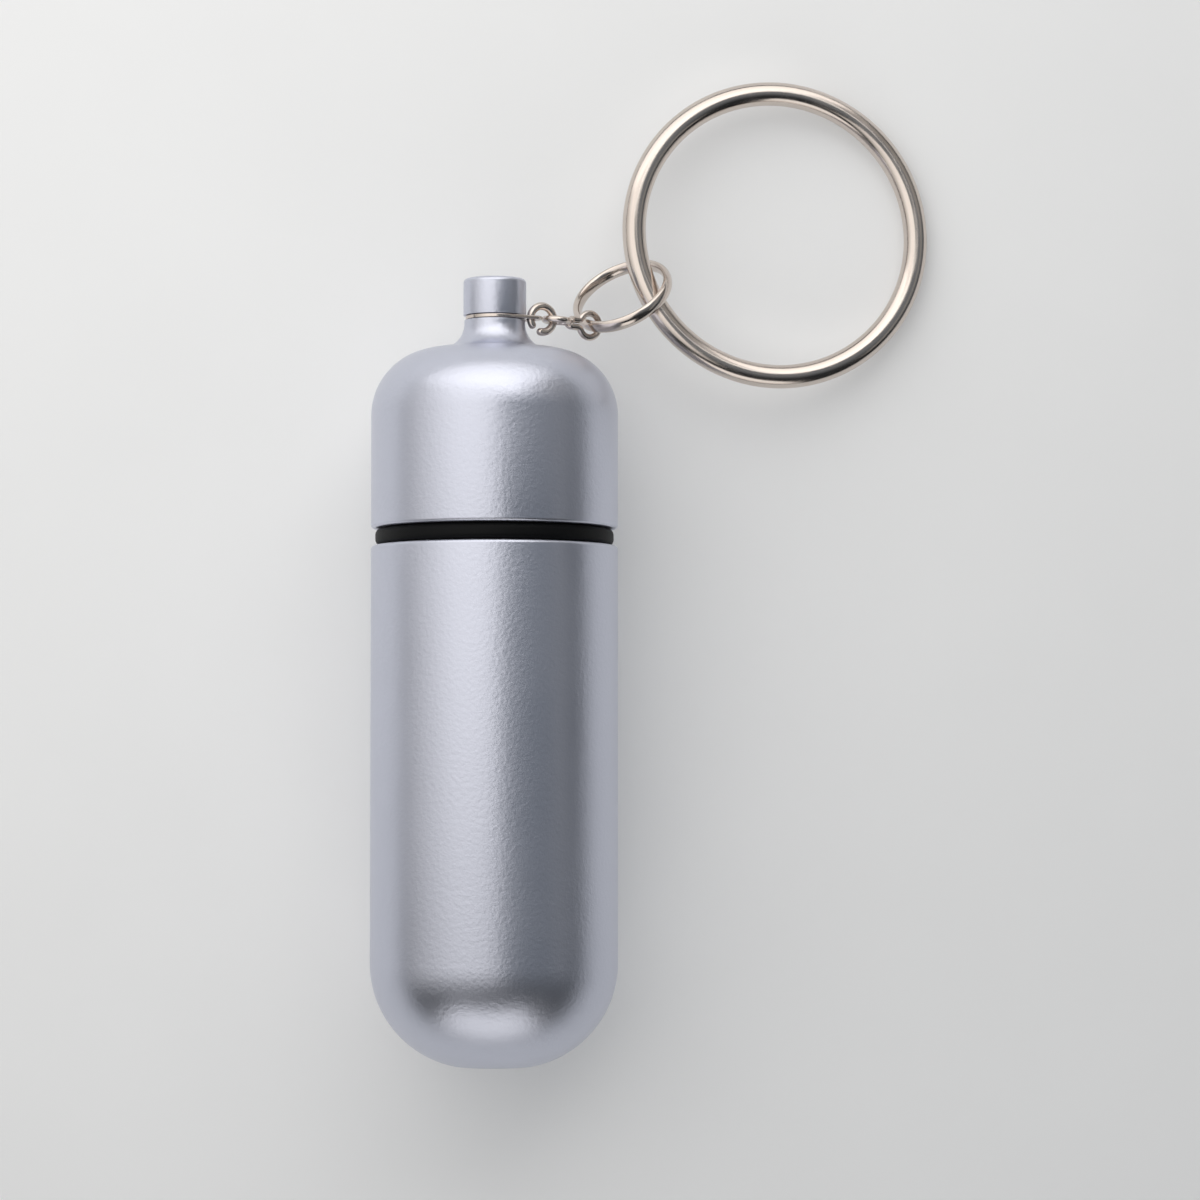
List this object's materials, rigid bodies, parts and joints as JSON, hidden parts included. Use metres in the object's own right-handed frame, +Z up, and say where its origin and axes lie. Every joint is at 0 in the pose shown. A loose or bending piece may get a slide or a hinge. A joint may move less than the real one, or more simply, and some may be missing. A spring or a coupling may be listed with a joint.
{
  "type": "pill holder key fob",
  "caption": "Screw-capped metal pill capsule with a rubber seal, on a swivel tab, a short wire chain and a plain key ring, lying on its side.",
  "frame": {"origin": "on the table under the middle of the whole object's box, as it lies on its side", "axes": "+Y along the capsule from its base to its post, +X to the side where the chain lies, +Z up"},
  "size_m": [0.039, 0.069, 0.017],
  "materials": {
    "satin_aluminium": "fine blasted satin, clear anodised",
    "seal_rubber": "moulded black rubber",
    "nickel_plate": "polished nickel plate on steel wire"
  },
  "bodies": {
    "vial": {"vial": "satin_aluminium"},
    "seal": {"seal_ring": "seal_rubber"},
    "cap": {"cap": "satin_aluminium", "swivel_post": "satin_aluminium"},
    "tab": {"swivel_tab": "nickel_plate"},
    "tab_ring": {"tab_ring": "nickel_plate"},
    "link": {"twisted_link": "nickel_plate"},
    "jump_ring": {"jump_ring": "nickel_plate"},
    "key_ring": {"key_ring": "nickel_plate"}
  },
  "joints": [
    {"name": "cap_travel", "type": "slide", "parent": "vial", "child": "seal", "axis": [0, 1, 0], "range_m": [0, 0.0051]},
    {"name": "cap_turn", "type": "hinge", "parent": "seal", "child": "cap", "pos_m": [-0.01099, -0.03446, 0.0085], "axis": [0, 1, 0], "range_deg": [0, 1440]},
    {"name": "tab_turn", "type": "hinge", "parent": "cap", "child": "tab", "pos_m": [-0.01099, -0.03446, 0.0085], "axis": [0, 1, 0], "continuous": true},
    {"name": "tab_ring_swing", "type": "hinge", "parent": "tab", "child": "tab_ring", "pos_m": [-0.00852, 0.0169, 0.0085], "axis": [0, 1, 0], "range_deg": [-95, 45]},
    {"name": "link_swing", "type": "hinge", "parent": "tab_ring", "child": "link", "pos_m": [-0.00696, 0.0169, 0.0076], "axis": [0, -1, 0], "range_deg": [-60, 70]},
    {"name": "jump_ring_swing", "type": "hinge", "parent": "link", "child": "jump_ring", "pos_m": [-0.00445, 0.01673, 0.00577], "axis": [0.0698, 0.9976, 0], "range_deg": [-35, 20]},
    {"name": "key_ring_swing", "type": "hinge", "parent": "jump_ring", "child": "key_ring", "pos_m": [-0.00058, 0.01978, 0.0046], "axis": [0.3746, -0.9272, 0], "range_deg": [-60, 120]}
  ],
  "couplings": [
    {"joint": "cap_travel", "follows": "cap_turn", "m_per_rad": 0.00019894}
  ]
}
